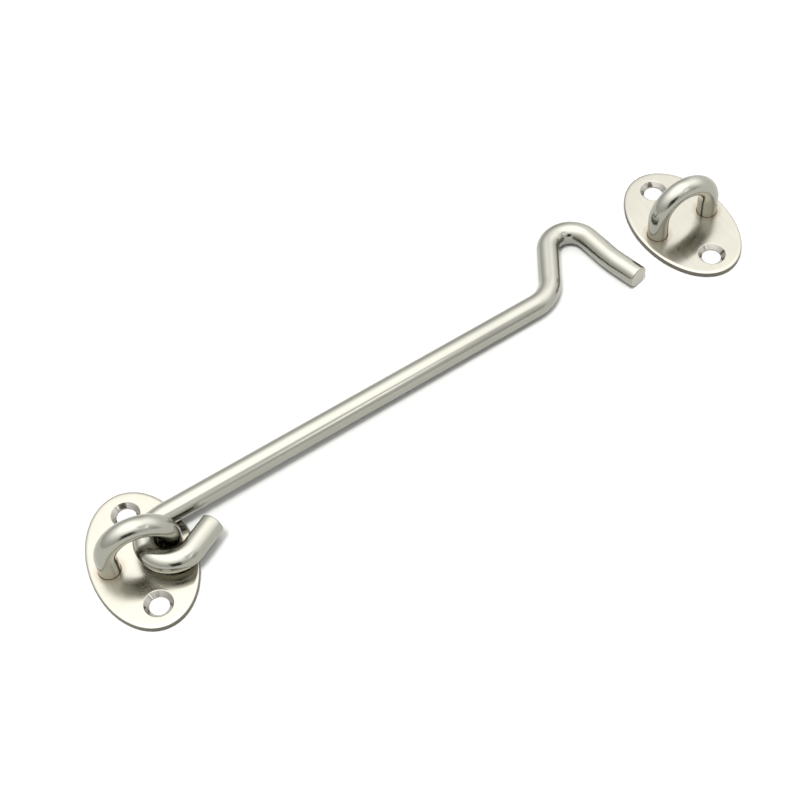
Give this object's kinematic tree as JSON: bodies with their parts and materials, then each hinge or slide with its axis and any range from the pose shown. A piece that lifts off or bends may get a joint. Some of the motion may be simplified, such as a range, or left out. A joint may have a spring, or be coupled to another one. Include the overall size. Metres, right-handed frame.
{
  "type": "hook and eye latch",
  "caption": "Stainless cabin hook: a bent round rod swings on a wire staple and drops into a second staple, each welded to an oval plate with countersunk screw holes.",
  "frame": {"origin": "middle of the hook plate's back face, halfway between its two screw holes", "axes": "+X along the rod's shank towards the catch, +Z away from the mounting surface"},
  "size_m": [0.1968, 0.046, 0.0173],
  "materials": {
    "sheet": "satin stamped sheet",
    "wire": "polished bent wire",
    "rod": "polished bent rod",
    "weld": "ground weld"
  },
  "bodies": {
    "hook_mount": {"hook_plate": "sheet", "hook_staple": "wire", "hook_staple_welds": "weld"},
    "hook": {"hook_rod": "rod"},
    "catch": {"catch_plate": "sheet", "catch_staple": "wire", "catch_staple_welds": "weld"}
  },
  "joints": [
    {"name": "hook_swing", "type": "hinge", "parent": "hook_mount", "child": "hook", "pos_m": [0.00783, -0.00166, 0], "axis": [0, 0, 1], "range_deg": [-185, 110]},
    {"name": "catch_away", "type": "slide", "parent": "hook_mount", "child": "catch", "axis": [1, 0, 0], "range_m": [0, 0.08]}
  ]
}
